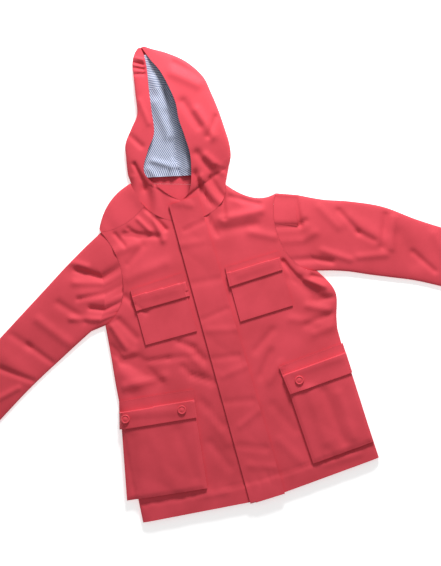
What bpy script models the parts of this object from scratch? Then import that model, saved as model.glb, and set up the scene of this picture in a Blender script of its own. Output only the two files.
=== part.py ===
"""Kids rain jacket with a striped-lined hood, laid flat on its back with the front up.

The jacket lies on the plane z = 0.  +X runs to the wearer's left, +Y from the hem to the hood along the
centre front, +Z up out of the front.  The origin is a point of the back panel's flat underside, level
with the waist.  Sizes in the tables are millimetres; meshes are made in metres.

Each piece of cloth is a wall between an outer and an inner grid of points.  Sections come from short
tables, seams are shared curves, and what lies on a panel takes its height from the cloth below it.
"""
import math
from collections import namedtuple

import bpy
from mathutils import Vector
from mathutils.bvhtree import BVHTree

MM = 0.001

# cloth
CLOTH = 2.4            # wall of the coated shell cloth with its turned edges
PATCH = 1.8            # wall of a flap or a patch pocket
LINING = 1.2           # wall of the striped hood lining
SEAM = 0.3             # gap left at every seam and between layers

# laid body
PLATEAU = 8.8          # top of a front panel above the ground
SIDE_ROUND = 18.0      # how far the folded side rounds down
FLOOR_LAYER = CLOTH + SEAM + CLOTH    # lowest top of a front panel, lying on the back panel

# sleeves
SLEEVE_HEIGHT = 8.7
EDGE_HEIGHT = 3.5      # height of the folded edge of a laid tube

# hood
HOOD_SPLIT = 0.42      # where the crown seam lies along the hood's underside, from its left fold

# centre front and pockets
PLACKET_TOP_WIDTH = 51.0
PLACKET_HEM_WIDTH = 60.0
PLACKET_LEFT = -28.0   # free edge of the placket
PLACKET_TOP = 259.0
BELLOWS = 6.2          # how far a cargo pocket stands off its panel
SNAP_RADIUS = 7.5
SNAP_HEIGHT = 2.4

HEM_CENTRE = -258.0    # hem at the centre front
HOOD_FOLD_HEIGHT = 8.0 # height of the hood's folded sides

Side = namedtuple("Side", "x y centre_y")             # a point of the side seam and its centre-front level
Curve = namedtuple("Curve", "start pull_start pull_end end")
Station = namedtuple("Station", "upper_along upper_off lower_along lower_off bow height")
HoodRow = namedtuple("HoodRow", "rim_right fold_right fold_left rim_left high_right high_left")
Fold = namedtuple("Fold", "start end width height")
Patch = namedtuple("Patch", "top_inner top_outer hem_outer hem_inner")    # inner is the placket's side

# The wearer's left half is the one at +X.
SIDE_LEFT = [
    Side(200, -241, HEM_CENTRE),
    Side(197, -180, -185),
    Side(194, -105, -110),
    Side(190, -15, -20),
    Side(203, 45, 45),
    Side(183, 88, 95),
]
SIDE_RIGHT = [
    Side(-210, -242, HEM_CENTRE),
    Side(-206, -180, -185),
    Side(-200, -105, -110),
    Side(-194, -15, -20),
    Side(-188, 45, 45),
    Side(-184, 93, 95),
]
ARMHOLE_LEFT = Curve((183, 88), (130, 100), (122, 190), (150, 232))
ARMHOLE_RIGHT = Curve((-184, 93), (-128, 112), (-122, 195), (-150, 246))
NECK_LEFT = Curve((0.3, 225), (34, 222), (70, 236), (73, 268))
NECK_RIGHT = Curve((-0.3, 225), (-45, 230), (-78, 262), (-80, 312))
SHOULDER_SAG_LEFT = 15.0
SHOULDER_SAG_RIGHT = 9.0
YOKE_FOLD_RIGHT = Curve((-80, 312), (-105, 306), (-134, 290), (-151, 252))

# Sleeve stations: distances along and off the straight line from the armhole's middle to the cuff's.
SLEEVE_LINE_LEFT = ((160, 158), (501, -5))
SLEEVE_LEFT = [
    Station(-5, 66, 78, -48, 0.85, 9.2),
    Station(38, 66, 105, -45, 0.45, 9.6),
    Station(85, 71, 138, -44, 0.15, 9.2),
    Station(140, 72, 175, -42, 0.0, 9.2),
    Station(200, 61, 216, -40, 0.0, SLEEVE_HEIGHT),
    Station(258, 54, 265, -42, 0.0, SLEEVE_HEIGHT),
    Station(320, 50, 322, -45, 0.0, SLEEVE_HEIGHT),
    Station(378, 48, 378, -48, 0.0, SLEEVE_HEIGHT),
]
SLEEVE_LINE_RIGHT = ((-160, 168), (-501, -21))
SLEEVE_RIGHT = [
    Station(-12, 64, 82, -44, 0.85, 9.2),
    Station(36, 63, 112, -43, 0.45, 9.6),
    Station(92, 60, 150, -42, 0.15, 9.2),
    Station(150, 57, 188, -41, 0.0, SLEEVE_HEIGHT),
    Station(208, 54, 228, -41, 0.0, SLEEVE_HEIGHT),
    Station(266, 52, 276, -43, 0.0, SLEEVE_HEIGHT),
    Station(328, 50, 332, -46, 0.0, SLEEVE_HEIGHT),
    Station(390, 48, 390, -48, 0.0, SLEEVE_HEIGHT),
]

# Hood sections from the neck seam to the tip: the two free rims of the mouth and the two folds.
HOOD = [
    HoodRow((-8, 262), (-81, 326), (86, 296), (-4, 262), 11, 11),
    HoodRow((-30, 284), (-79, 340), (94, 312), (14, 277), 13, 16),
    HoodRow((-53, 322), (-76, 356), (97, 334), (28, 325), 14, 23),
    HoodRow((-38, 356), (-71, 378), (96, 362), (28, 362), 15, 27),
    HoodRow((-20, 382), (-53, 402), (94, 392), (26, 392), 16, 28),
    HoodRow((-14, 420), (-39, 421), (90, 422), (28, 420), 16, 27),
    HoodRow((-9, 455), (-33, 455), (84, 452), (24, 450), 15, 24),
    HoodRow((-4, 484), (-28, 485), (64, 483), (17, 479), 13, 18),
    HoodRow((-2, 506), (-24, 506), (37, 506), (7, 501), 10, 12),
    HoodRow((-3, 519), (-17, 520), (14, 520), (1, 517), 6.4, 7.2),
    HoodRow((-4.5, 527), (-9, 527.5), (2, 528), (-2.5, 527), 5.2, 5.2),
]

BODY_FOLDS = [
    Fold((-186, 52), (-150, 20), 13, -3.2),
    Fold((-150, 20), (-128, -18), 13, -3.4),
    Fold((-176, 8), (-158, -14), 12, 2.6),
    Fold((140, 88), (172, 44), 12, -3.2),
    Fold((158, 92), (190, 52), 11, 2.4),
    Fold((-112, 226), (-84, 214), 12, -2.4),
    Fold((60, 205), (100, 206), 13, 2.2),
]
SLEEVE_FOLDS = [
    Fold((-214, 196), (-146, 148), 13, -3.0),
    Fold((-206, 150), (-150, 128), 12, 2.6),
    Fold((-360, 84), (-330, 40), 15, 2.4),
    Fold((172, 220), (186, 160), 12, 2.8),
    Fold((258, 158), (300, 110), 13, 2.6),
    Fold((330, 110), (345, 60), 15, -2.6),
    Fold((440, 62), (462, 10), 14, 2.2),
    Fold((-452, 46), (-430, -8), 14, 2.2),
]

CHEST_POCKET = {
    "right": Patch((-39, 126), (-127, 126), (-127, 44), (-38, 44)),
    "left": Patch((36, 122), (127, 124), (128, 43), (36, 40)),
}
CHEST_FLAP = {
    "right": Patch((-35, 144), (-128, 139), (-127, 103), (-34, 104)),
    "left": Patch((35, 134), (128, 137), (127, 105), (34, 101)),
}
CARGO_POCKET = {
    "right": Patch((-75, -68), (-198, -56), (-226, -199), (-91, -214)),
    "left": Patch((82, -68), (191, -58), (198, -212), (91, -221)),
}
CARGO_FLAP = {
    "right": Patch((-71, -49), (-195, -35), (-207, -81), (-76, -95)),
    "left": Patch((78, -50), (192, -40), (194, -91), (84, -99)),
}
SNAPS = {"right": [(-97, -76), (-192, -66)], "left": [(105, -80)]}

ARM_STEPS = 9          # steps of an armhole, and of the panel rows that end on it
NECK_STEPS = 4         # steps of a front's neck seam
YOKE_NECK_STEPS = 2    # further steps of the right neck seam, along the yoke
PLACKET_STEPS = 22
YOKE_ACROSS = (0.0, 0.25, 0.5, 0.8, 1.0)
HOOD_RIM_TO_FOLD_RIGHT = [k / 6 for k in range(6)] + [0.93, 1.0]
HOOD_RIM_TO_FOLD_LEFT = [0.0, 0.12, 0.25, 0.5, 0.75, 0.9, 1.0]
HOOD_UNDER = [0.04, 0.2, HOOD_SPLIT, 0.62, 0.8, 0.96]
CROWN_SEAM_SHARE = 0.008    # the crown seam's gap, as a share of the hood's width
ACROSS = [0.0, 0.16, 0.32, 0.48, 0.62, 0.75, 0.86, 0.93, 0.98, 1.0]

CORAL = (0.730, 0.060, 0.075)
STRIPE_BLUE = (0.260, 0.290, 0.420)


# ---------------------------------------------------------------- scene, materials and meshes

def clear_scene():
    for item in list(bpy.data.objects):
        bpy.data.objects.remove(item, do_unlink=True)


def make_material(name, colour, roughness):
    material = bpy.data.materials.new(name)
    material.use_nodes = True
    shader = material.node_tree.nodes["Principled BSDF"]
    shader.inputs["Base Color"].default_value = (*colour, 1.0)
    shader.inputs["Roughness"].default_value = roughness
    shader.inputs["Metallic"].default_value = 0.0
    return material


def add_object(name, points, faces, material, collection):
    mesh = bpy.data.meshes.new(name)
    mesh.from_pydata([Vector(p) * MM for p in points], [], faces)
    mesh.materials.append(material)
    mesh.shade_smooth()
    mesh.set_sharp_from_angle(angle=math.radians(40))
    thing = bpy.data.objects.new(name, mesh)
    collection.objects.link(thing)
    return thing


def cloth_wall(name, outer, inner, material, collection, around=False):
    """One closed wall between an outer and an inner grid of equal size; around joins each row's ends."""
    rows, columns = len(outer), len(outer[0])
    size = rows * columns
    points = [p for row in outer for p in row] + [p for row in inner for p in row]
    across = columns if around else columns - 1

    def at(row, column, side):
        return side * size + row * columns + column % columns

    faces = []
    for r in range(rows - 1):
        for c in range(across):
            # both sides split along the same diagonal, so that layers stay parallel
            faces.append((at(r, c, 0), at(r, c + 1, 0), at(r + 1, c + 1, 0)))
            faces.append((at(r, c, 0), at(r + 1, c + 1, 0), at(r + 1, c, 0)))
            faces.append((at(r, c, 1), at(r + 1, c + 1, 1), at(r, c + 1, 1)))
            faces.append((at(r, c, 1), at(r + 1, c, 1), at(r + 1, c + 1, 1)))
    for c in range(across):
        last = rows - 1
        faces.append((at(0, c + 1, 0), at(0, c, 0), at(0, c, 1), at(0, c + 1, 1)))
        faces.append((at(last, c, 0), at(last, c + 1, 0), at(last, c + 1, 1), at(last, c, 1)))
    if not around:
        last = columns - 1
        for r in range(rows - 1):
            faces.append((at(r, 0, 0), at(r + 1, 0, 0), at(r + 1, 0, 1), at(r, 0, 1)))
            faces.append((at(r + 1, last, 0), at(r, last, 0), at(r, last, 1), at(r + 1, last, 1)))
    return add_object(name, points, faces, material, collection)


# ---------------------------------------------------------------- curves, folds and heights

def mix(a, b, t):
    return tuple(p + (q - p) * t for p, q in zip(a, b))


def curve_points(curve, steps):
    """Points of a cubic curve between two ends, each pulled towards its own handle."""
    points = []
    for k in range(steps + 1):
        t = k / steps
        weights = ((1 - t) ** 3, 3 * t * (1 - t) ** 2, 3 * t * t * (1 - t), t ** 3)
        points.append(tuple(sum(w * p[axis] for w, p in zip(weights, curve)) for axis in (0, 1)))
    return points


def along(points, t):
    """The point at the fraction t of a seam's straight steps."""
    place = min(max(t, 0.0), 1.0) * (len(points) - 1)
    k = min(int(place), len(points) - 2)
    return mix(points[k], points[k + 1], place - k)


def moved_off(points, distance):
    """A seam's points moved sideways, to the left of its direction."""
    moved = []
    for k, point in enumerate(points):
        before, after = points[max(k - 1, 0)], points[min(k + 1, len(points) - 1)]
        dx, dy = after[0] - before[0], after[1] - before[1]
        length = math.hypot(dx, dy)
        moved.append((point[0] - dy / length * distance, point[1] + dx / length * distance))
    return moved


def smooth_rows(rows, steps):
    """Rows of numbers filled in by a smooth curve through each column, steps between each two."""
    filled = []
    for k in range(len(rows) - 1):
        before, here = rows[max(k - 1, 0)], rows[k]
        there, after = rows[k + 1], rows[min(k + 2, len(rows) - 1)]
        for step in range(steps):
            t = step / steps
            filled.append(tuple(
                b + 0.5 * t * (c - a + t * (2 * a - 5 * b + 4 * c - d + t * (3 * (b - c) + d - a)))
                for a, b, c, d in zip(before, here, there, after)))
    filled.append(tuple(rows[-1]))
    return filled


def distance_to_run(x, y, run):
    """Shortest distance from a point to a run of straight steps."""
    best = math.inf
    for (ax, ay), (bx, by) in zip(run, run[1:]):
        dx, dy = bx - ax, by - ay
        t = min(max(((x - ax) * dx + (y - ay) * dy) / (dx * dx + dy * dy), 0.0), 1.0)
        best = min(best, math.hypot(x - ax - t * dx, y - ay - t * dy))
    return best


def fold_height(x, y, folds):
    """Sum of the soft ridges and troughs at a point."""
    total = 0.0
    for fold in folds:
        reach = distance_to_run(x, y, (fold.start, fold.end)) / fold.width
        total += fold.height * math.exp(-reach * reach)
    return total


def body_height(x, y, folded_edges):
    """Top of a front panel: level, with soft folds, rounding down to the back panel at a folded edge."""
    reach = min(min(distance_to_run(x, y, edge) for edge in folded_edges) / SIDE_ROUND, 1.0)
    rounded = math.sqrt(1 - (1 - reach) ** 2)
    top = PLATEAU - FLOOR_LAYER + fold_height(x, y, BODY_FOLDS)
    return FLOOR_LAYER + max(top * rounded, 0.0)


class Ground:
    """Height of the cloth below a point, felt on the pieces that are already laid."""

    def __init__(self, pieces):
        points, faces = [], []
        for piece in pieces:
            base = len(points)
            points += [v.co / MM for v in piece.data.vertices]
            faces += [[base + i for i in p.vertices] for p in piece.data.polygons]
        self.tree = BVHTree.FromPolygons(points, faces)

    def at(self, x, y, reach=0.0, bare=0.0):
        """The highest cloth within reach of a point, or the bare height where there is none."""
        shifts = (-reach, -reach / 2, 0.0, reach / 2, reach) if reach else (0.0,)
        top = bare
        for dx in shifts:
            for dy in shifts:
                hit = self.tree.ray_cast(Vector((x + dx, y + dy, 200)), Vector((0, 0, -1)))[0]
                if hit is not None:
                    top = max(top, hit.z)
        return top


# ---------------------------------------------------------------- body

def side_rows(side):
    return smooth_rows([tuple(row) for row in side], 3)


def front_plan(side, armhole, neck, sag, sign):
    """Plan rows of a front panel, each from the centre front or the neck seam out to the side.

    The upper rows take the armhole's own points, and the last of them the neck seam's.
    """
    rows = []
    for x, y, centre_y in side_rows(side)[:-1]:
        rows.append([mix((sign * SEAM / 2, centre_y), (x, y), u) for u in ACROSS])
    centre_rows = len(armhole) - len(neck)
    side_top = side[-1].centre_y
    inner = [(0.0, side_top + (neck[0][1] - side_top) * k / centre_rows) for k in range(centre_rows)]
    inner += neck
    for k, (start, end) in enumerate(zip(inner, armhole)):
        start = (sign * max(abs(start[0]), SEAM / 2), start[1])
        droop = sag * max((k - centre_rows) / (len(neck) - 1), 0.0) ** 2
        line = [mix(start, end, u) for u in ACROSS]
        rows.append([(x, y - droop * 4 * u * (1 - u)) for (x, y), u in zip(line, ACROSS)])
    return rows


def raise_plan(plan, folded_edges):
    outer = [[(x, y, body_height(x, y, folded_edges)) for x, y in row] for row in plan]
    inner = [[(x, y, z - CLOTH) for x, y, z in row] for row in outer]
    return outer, inner


def facing_up(rows, sign):
    """Grids of the right half run the other way, so that every wall's outer side faces up."""
    return rows if sign > 0 else [list(reversed(row)) for row in rows]


def make_front(name, plan, folded_edges, sign, material, collection):
    outer, inner = raise_plan(plan, folded_edges)
    return cloth_wall(name, facing_up(outer, sign), facing_up(inner, sign), material, collection)


def make_back(plan_left, plan_right, yoke_fold, material, collection):
    """The back panel: one flat wall with the fronts' outline and a straight neck edge."""
    outline = [plan_left[0][0]] + [row[-1] for row in plan_left]
    outline += list(reversed(plan_left[-1]))[1:]
    outline += moved_off(outline[-1:] + yoke_fold[:1], SEAM)
    outline += yoke_fold + [row[-1] for row in reversed(plan_right)]
    curve = bpy.data.curves.new("back_panel", "CURVE")
    curve.dimensions = "2D"
    curve.fill_mode = "BOTH"
    curve.extrude = CLOTH / 2 * MM
    spline = curve.splines.new("POLY")
    spline.points.add(len(outline) - 1)
    for point, (x, y) in zip(spline.points, outline):
        point.co = (x * MM, y * MM, 0.0, 1.0)
    spline.use_cyclic_u = True
    curve.materials.append(material)
    back = bpy.data.objects.new("back_panel", curve)
    back.location.z = CLOTH / 2 * MM
    collection.objects.link(back)


def make_yoke(plan_right, neck, yoke_fold, folded_edges, material, collection):
    """The back yoke where it turns forward over the right shoulder, from its seam to its folded edge."""
    seam = moved_off(plan_right[-1], -SEAM)
    neck_edge = neck[-YOKE_NECK_STEPS - 1:]
    plan = []
    for k, start in enumerate(seam):
        end = along(yoke_fold, k / (len(seam) - 1))
        plan.append([mix(start, end, t) for t in YOKE_ACROSS])
    plan[0] = [along(neck_edge, t) for t in YOKE_ACROSS]
    plan[0][0] = seam[0]
    outer, inner = raise_plan(plan, folded_edges)
    return cloth_wall("yoke_right", outer, inner, material, collection)


# ---------------------------------------------------------------- sleeves

def make_sleeve(name, armhole, line, stations, sign, material, collection):
    """A laid tube: its first ring follows the armhole, its flat underside lies on the ground."""
    start, end = Vector(line[0]), Vector(line[1])
    axis = (end - start).normalized()
    off = Vector((-axis.y, axis.x)) * (1 if axis.x > 0 else -1)
    # seams run from the underarm up, tubes from the upper fold down
    seam = list(reversed(moved_off(armhole, -SEAM * sign)))
    chord = [mix(seam[0], seam[-1], k / (len(seam) - 1)) for k in range(len(seam))]
    bow = [(a[0] - b[0], a[1] - b[1]) for a, b in zip(seam, chord)]
    filled = smooth_rows([tuple(s) for s in stations], 2)
    rings = [(seam[0], seam[-1], 1.0, PLATEAU)]
    for row in filled:
        s = Station(*row)
        upper = start + axis * s.upper_along + off * s.upper_off
        lower = start + axis * s.lower_along + off * s.lower_off
        rings.append((tuple(upper), tuple(lower), max(s.bow, 0.0), s.height))
    steps = 8
    shares = [0.5 - 0.5 * math.cos(math.pi * k / steps) for k in range(steps + 1)]
    outer, inner = [], []
    for upper, lower, bow_share, height in rings:
        width = math.dist(upper, lower)
        inset = CLOTH / width

        def plan(share):
            x, y = mix(upper, lower, share)
            bx, by = along(bow, share)
            return x + bx * bow_share, y + by * bow_share

        def top(share):
            x, y = plan(share)
            swell = (1 - abs(2 * share - 1) ** 3) ** (1 / 3)
            return EDGE_HEIGHT + (height + fold_height(x, y, SLEEVE_FOLDS) - EDGE_HEIGHT) * swell

        out_ring = [(*plan(s), top(s)) for s in shares]
        out_ring += [(*plan(s), 0.0) for s in reversed(shares[1:-1])]
        pinched = [inset + s * (1 - 2 * inset) for s in shares]
        in_ring = [(*plan(p), max(top(s) - CLOTH, CLOTH + 0.4)) for s, p in zip(shares, pinched)]
        in_ring[0] = (*plan(pinched[0]), EDGE_HEIGHT)
        in_ring[-1] = (*plan(pinched[-1]), EDGE_HEIGHT)
        in_ring += [(*plan(p), CLOTH) for p in reversed(pinched[1:-1])]
        outer.append(out_ring if sign > 0 else list(reversed(out_ring)))
        inner.append(in_ring if sign > 0 else list(reversed(in_ring)))
    return cloth_wall(name, outer, inner, material, collection, around=True)


# ---------------------------------------------------------------- hood

def hood_rows(neck_right, neck_left):
    """Hood sections as plain rows of numbers: the first one follows the neck seams."""
    table = [(*row.rim_right, *row.fold_right, *row.fold_left, *row.rim_left,
              row.high_right, row.high_left) for row in HOOD]
    base = (*neck_right[0], *neck_right[-1], *neck_left[-1], *neck_left[0], PLATEAU, PLATEAU)
    return [base] + smooth_rows(table, 2)


def bow_of(seam):
    """How far each point of a seam lies off the straight line between its ends."""
    chord = [mix(seam[0], seam[-1], k / (len(seam) - 1)) for k in range(len(seam))]
    return [(a[0] - b[0], a[1] - b[1]) for a, b in zip(seam, chord)]


def hood_point(row, stretch, t, depth, bows):
    """A point of a hood section, at a depth below its outer side.

    The right and left stretches run from a free rim to a fold, the under stretch from fold to fold.
    """
    fold_right, fold_left = row[2:4], row[4:6]
    inset = depth / math.dist(fold_right, fold_left)
    edge_right, edge_left = mix(fold_right, fold_left, inset), mix(fold_left, fold_right, inset)
    if stretch == "under":
        return *mix(edge_right, edge_left, t), depth
    rim, edge, high = (row[0:2], edge_right, row[8]) if stretch == "right" else (row[6:8], edge_left, row[9])
    fold_high = min(high / 2, HOOD_FOLD_HEIGHT)
    x, y = mix(rim, edge, t)
    bow_x, bow_y = along(bows[stretch], t)
    if t == 1.0:
        return x, y, max(fold_high, depth + SEAM / 2)
    swell = (1 - t ** 3) ** (1 / 3)
    return x + bow_x, y + bow_y, max(fold_high + (high - fold_high) * swell - depth, depth + SEAM)


def make_hood_piece(name, path, rows, bows, depth, thickness, material, collection):
    """A wall along part of the hood's sections; its path runs from the right rim towards the left one."""
    straight = {"right": [(0, 0), (0, 0)], "left": [(0, 0), (0, 0)]}
    outer, inner = [], []
    for k, row in enumerate(rows):
        row_bows = bows if bows and k == 0 else straight
        outer.append([hood_point(row, stretch, t, depth, row_bows) for stretch, t in path])
        inner.append([hood_point(row, stretch, t, depth + thickness, row_bows) for stretch, t in path])
    return cloth_wall(name, facing_up(outer, -1), facing_up(inner, -1), material, collection)


def make_hood(neck_right, neck_left, shell, lining, collection):
    """Two shell panels, meeting in a seam on the underside, and the striped lining inside them."""
    right, left = moved_off(neck_right, -SEAM), moved_off(neck_left, SEAM)
    rows = hood_rows(right, left)
    bows = {"right": bow_of(right), "left": bow_of(left)}
    right_path = [("right", t) for t in HOOD_RIM_TO_FOLD_RIGHT]
    right_path += [("under", t) for t in HOOD_UNDER if t <= HOOD_SPLIT]
    left_path = [("under", HOOD_SPLIT + CROWN_SEAM_SHARE)]
    left_path += [("under", t) for t in HOOD_UNDER if t > HOOD_SPLIT]
    left_path += [("left", t) for t in reversed(HOOD_RIM_TO_FOLD_LEFT)]
    hood_right = make_hood_piece("hood_right", right_path, rows, bows, 0.0, CLOTH, shell, collection)
    hood_left = make_hood_piece("hood_left", left_path, rows, bows, 0.0, CLOTH, shell, collection)
    lining_path = [("right", t) for t in HOOD_RIM_TO_FOLD_RIGHT[1:]]
    lining_path += [("under", t) for t in HOOD_UNDER]
    lining_path += [("left", t) for t in reversed(HOOD_RIM_TO_FOLD_LEFT[1:])]
    lined_rows = [row for row in rows[1:] if min(row[8:10]) > 2 * (CLOTH + LINING) + 3 * SEAM]
    make_hood_piece("hood_lining", lining_path, lined_rows, None, CLOTH + SEAM, LINING, lining, collection)
    return hood_right, hood_left


# ---------------------------------------------------------------- what lies on the panels

def lay_sheet(name, plan, ground, reach, thickness, material, collection, sign=1):
    """A flat piece laid on the cloth below it, one seam gap above its highest point."""
    inner = [[(x, y, ground.at(x, y, reach, FLOOR_LAYER) + SEAM) for x, y in row] for row in plan]
    outer = [[(x, y, z + thickness) for x, y, z in row] for row in inner]
    return cloth_wall(name, facing_up(outer, sign), facing_up(inner, sign), material, collection)


def make_placket(ground, material, collection):
    plan = []
    for k in range(PLACKET_STEPS + 1):
        t = k / PLACKET_STEPS
        y = HEM_CENTRE - 1.0 + (PLACKET_TOP - HEM_CENTRE + 1.0) * t
        width = PLACKET_HEM_WIDTH + (PLACKET_TOP_WIDTH - PLACKET_HEM_WIDTH) * t
        plan.append([(PLACKET_LEFT + width * u, y + 2.0 * u) for u in (0.0, 0.2, 0.5, 0.8, 1.0)])
    return lay_sheet("placket", plan, ground, 7.0, CLOTH, material, collection)


def four_corner_plan(corners, shares_across, shares_down):
    """Plan rows from the hem end up to the hood end; each corner is (x, y), named in Patch order."""
    rows = []
    for v in reversed(shares_down):
        inner = mix(corners.top_inner, corners.hem_inner, v)
        outer = mix(corners.top_outer, corners.hem_outer, v)
        rows.append([mix(inner, outer, u) for u in shares_across])
    return rows


def make_patch(name, corners, ground, sign, material, collection):
    shares = (0.0, 0.25, 0.5, 0.75, 1.0)
    plan = four_corner_plan(corners, shares, (0.0, 0.3, 0.6, 1.0))
    return lay_sheet(name, plan, ground, 6.0, PATCH, material, collection, sign)


def make_flap(name, corners, ground, sign, material, collection):
    shares = (0.0, 0.03, 0.2, 0.4, 0.6, 0.8, 0.95, 1.0)
    plan = four_corner_plan(corners, shares, (0.0, 0.16, 0.36, 0.66, 1.0))
    return lay_sheet(name, plan, ground, 6.0, PATCH, material, collection, sign)


def make_bellows(name, corners, ground, sign, material, collection):
    """A cargo pocket: a face held off the panel by side and bottom walls, open at its mouth."""
    width = math.dist(corners.top_inner, corners.top_outer)
    depth = math.dist(corners.top_inner, corners.hem_inner)

    def face(inset, drop):
        across = [0.0, 0.0, 0.05, 0.27, 0.5, 0.7, 0.84, 0.92, 1.0, 1.0]
        down = [0.0, 0.22, 0.5, 0.78, 0.95, 1.0, 1.0]
        rows = []
        for j, v in reversed(list(enumerate(down))):
            row = []
            for i, u in enumerate(across):
                u_in = inset / width + u * (1 - 2 * inset / width)
                v_in = v * (1 - inset / depth)
                inner = mix(corners.top_inner, corners.hem_inner, v_in)
                outer = mix(corners.top_outer, corners.hem_outer, v_in)
                x, y = mix(inner, outer, u_in)
                low = ground.at(x, y, 7.0, FLOOR_LAYER)
                on_border = i in (0, len(across) - 1) or j == len(down) - 1
                row.append((x, y, low + SEAM if on_border else low + BELLOWS - drop))
            rows.append(row)
        return rows

    outer, inner = face(0.0, 0.0), face(PATCH, PATCH)
    return cloth_wall(name, facing_up(outer, sign), facing_up(inner, sign), material, collection)


def make_snap(name, place, ground, material, collection):
    """A round snap cap lying on its flap."""
    x, y = place
    base = ground.at(x, y, SNAP_RADIUS) + SEAM
    bpy.ops.mesh.primitive_cylinder_add(vertices=18, radius=SNAP_RADIUS * MM, depth=SNAP_HEIGHT * MM,
                                        location=(x * MM, y * MM, (base + SNAP_HEIGHT / 2) * MM))
    snap = bpy.context.object
    snap.name = snap.data.name = name
    for owner in list(snap.users_collection):
        owner.objects.unlink(snap)
    collection.objects.link(snap)
    snap.data.materials.append(material)
    bevel = snap.modifiers.new("worn_edge", "BEVEL")
    bevel.width = 0.7 * MM
    bevel.segments = 1
    bevel.limit_method = "ANGLE"
    snap.data.shade_smooth()
    snap.data.set_sharp_from_angle(angle=math.radians(40))


# ---------------------------------------------------------------- the jacket

def build_jacket():
    clear_scene()
    jacket = bpy.data.collections.new("kids_rain_jacket")
    bpy.context.scene.collection.children.link(jacket)
    shell = make_material("coral_coated_cotton", CORAL, 0.75)
    striped = make_material("striped_lining", STRIPE_BLUE, 0.85)
    snap_finish = make_material("coral_snap", CORAL, 0.4)

    armhole_left = curve_points(ARMHOLE_LEFT, ARM_STEPS)
    armhole_right = curve_points(ARMHOLE_RIGHT, ARM_STEPS)
    neck_left = curve_points(NECK_LEFT, NECK_STEPS)
    neck_right = curve_points(NECK_RIGHT, NECK_STEPS + YOKE_NECK_STEPS)
    front_neck_right = neck_right[:NECK_STEPS + 1]
    yoke_fold = curve_points(YOKE_FOLD_RIGHT, 8)

    plan_left = front_plan(SIDE_LEFT, armhole_left, neck_left, SHOULDER_SAG_LEFT, 1)
    plan_right = front_plan(SIDE_RIGHT, armhole_right, front_neck_right, SHOULDER_SAG_RIGHT, -1)
    folds_left = [[row[:2] for row in side_rows(SIDE_LEFT)], plan_left[-1]]
    folds_right = [[row[:2] for row in side_rows(SIDE_RIGHT)], yoke_fold]

    make_back(plan_left, plan_right, yoke_fold, shell, jacket)
    front_right = make_front("front_right_panel", plan_right, folds_right, -1, shell, jacket)
    front_left = make_front("front_left_panel", plan_left, folds_left, 1, shell, jacket)
    make_yoke(plan_right, neck_right, yoke_fold, folds_right, shell, jacket)
    make_sleeve("sleeve_right", armhole_right, SLEEVE_LINE_RIGHT, SLEEVE_RIGHT, -1, shell, jacket)
    make_sleeve("sleeve_left", armhole_left, SLEEVE_LINE_LEFT, SLEEVE_LEFT, 1, shell, jacket)
    hood = make_hood(neck_right, neck_left, shell, striped, jacket)

    fronts = Ground([front_right, front_left])
    make_placket(Ground([front_right, front_left, *hood]), shell, jacket)
    for side, sign in (("right", -1), ("left", 1)):
        chest = make_patch(f"chest_pocket_{side}", CHEST_POCKET[side], fronts, sign, shell, jacket)
        under_flap = Ground([front_right, front_left, chest])
        make_flap(f"chest_flap_{side}", CHEST_FLAP[side], under_flap, sign, shell, jacket)
        cargo = make_bellows(f"cargo_pocket_{side}", CARGO_POCKET[side], fronts, sign, shell, jacket)
        under_flap = Ground([front_right, front_left, cargo])
        flap = make_flap(f"cargo_flap_{side}", CARGO_FLAP[side], under_flap, sign, shell, jacket)
        for number, place in enumerate(SNAPS[side], 1):
            make_snap(f"snap_{side}_{number}", place, Ground([flap]), snap_finish, jacket)


build_jacket()
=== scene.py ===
"""The looks of a coral kids rain jacket with a striped-lined hood, laid flat on a pale floor.

Every piece of cloth but the plain back panel is a fine wall of its solid's sections, with creases as soft
ridges and troughs.  Lengths in the tables are millimetres, +X to the wearer's left, +Y from the hem to the
hood along the centre front, +Z up.
"""
import math
from collections import namedtuple

import bpy
import numpy as np
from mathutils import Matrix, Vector
from mathutils.bvhtree import BVHTree


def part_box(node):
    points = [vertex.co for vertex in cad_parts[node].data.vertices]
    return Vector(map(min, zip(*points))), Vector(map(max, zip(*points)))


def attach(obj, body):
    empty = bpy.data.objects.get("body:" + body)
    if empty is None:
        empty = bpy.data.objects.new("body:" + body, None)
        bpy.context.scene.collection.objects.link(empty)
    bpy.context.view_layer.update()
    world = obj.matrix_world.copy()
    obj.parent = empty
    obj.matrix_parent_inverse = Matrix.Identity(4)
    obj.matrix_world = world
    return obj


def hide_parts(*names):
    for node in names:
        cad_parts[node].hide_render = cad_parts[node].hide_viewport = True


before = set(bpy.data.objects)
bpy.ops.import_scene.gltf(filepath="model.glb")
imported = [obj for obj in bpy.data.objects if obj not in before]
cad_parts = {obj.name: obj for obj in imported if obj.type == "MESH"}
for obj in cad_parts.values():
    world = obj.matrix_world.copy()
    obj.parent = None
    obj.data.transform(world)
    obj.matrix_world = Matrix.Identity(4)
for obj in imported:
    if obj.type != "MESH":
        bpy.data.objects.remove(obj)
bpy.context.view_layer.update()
MM = 0.001

# cloth
CLOTH = 2.4            # wall of the coated shell cloth with its turned edges
PATCH = 1.8            # wall of a flap or a patch pocket
LINING = 1.2           # wall of the striped hood lining
SEAM = 0.3             # gap left at every seam and between layers

# laid body
PLATEAU = 8.8          # top of a front panel above the ground
SIDE_ROUND = 18.0      # how far the folded side rounds down
FLOOR_LAYER = CLOTH + SEAM + CLOTH    # lowest top of a front panel, lying on the back panel

# sleeves
SLEEVE_HEIGHT = 8.7
EDGE_HEIGHT = 3.5      # height of the folded edge of a laid tube

# hood
HOOD_SPLIT = 0.42      # where the crown seam lies along the hood's underside, from its left fold

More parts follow.
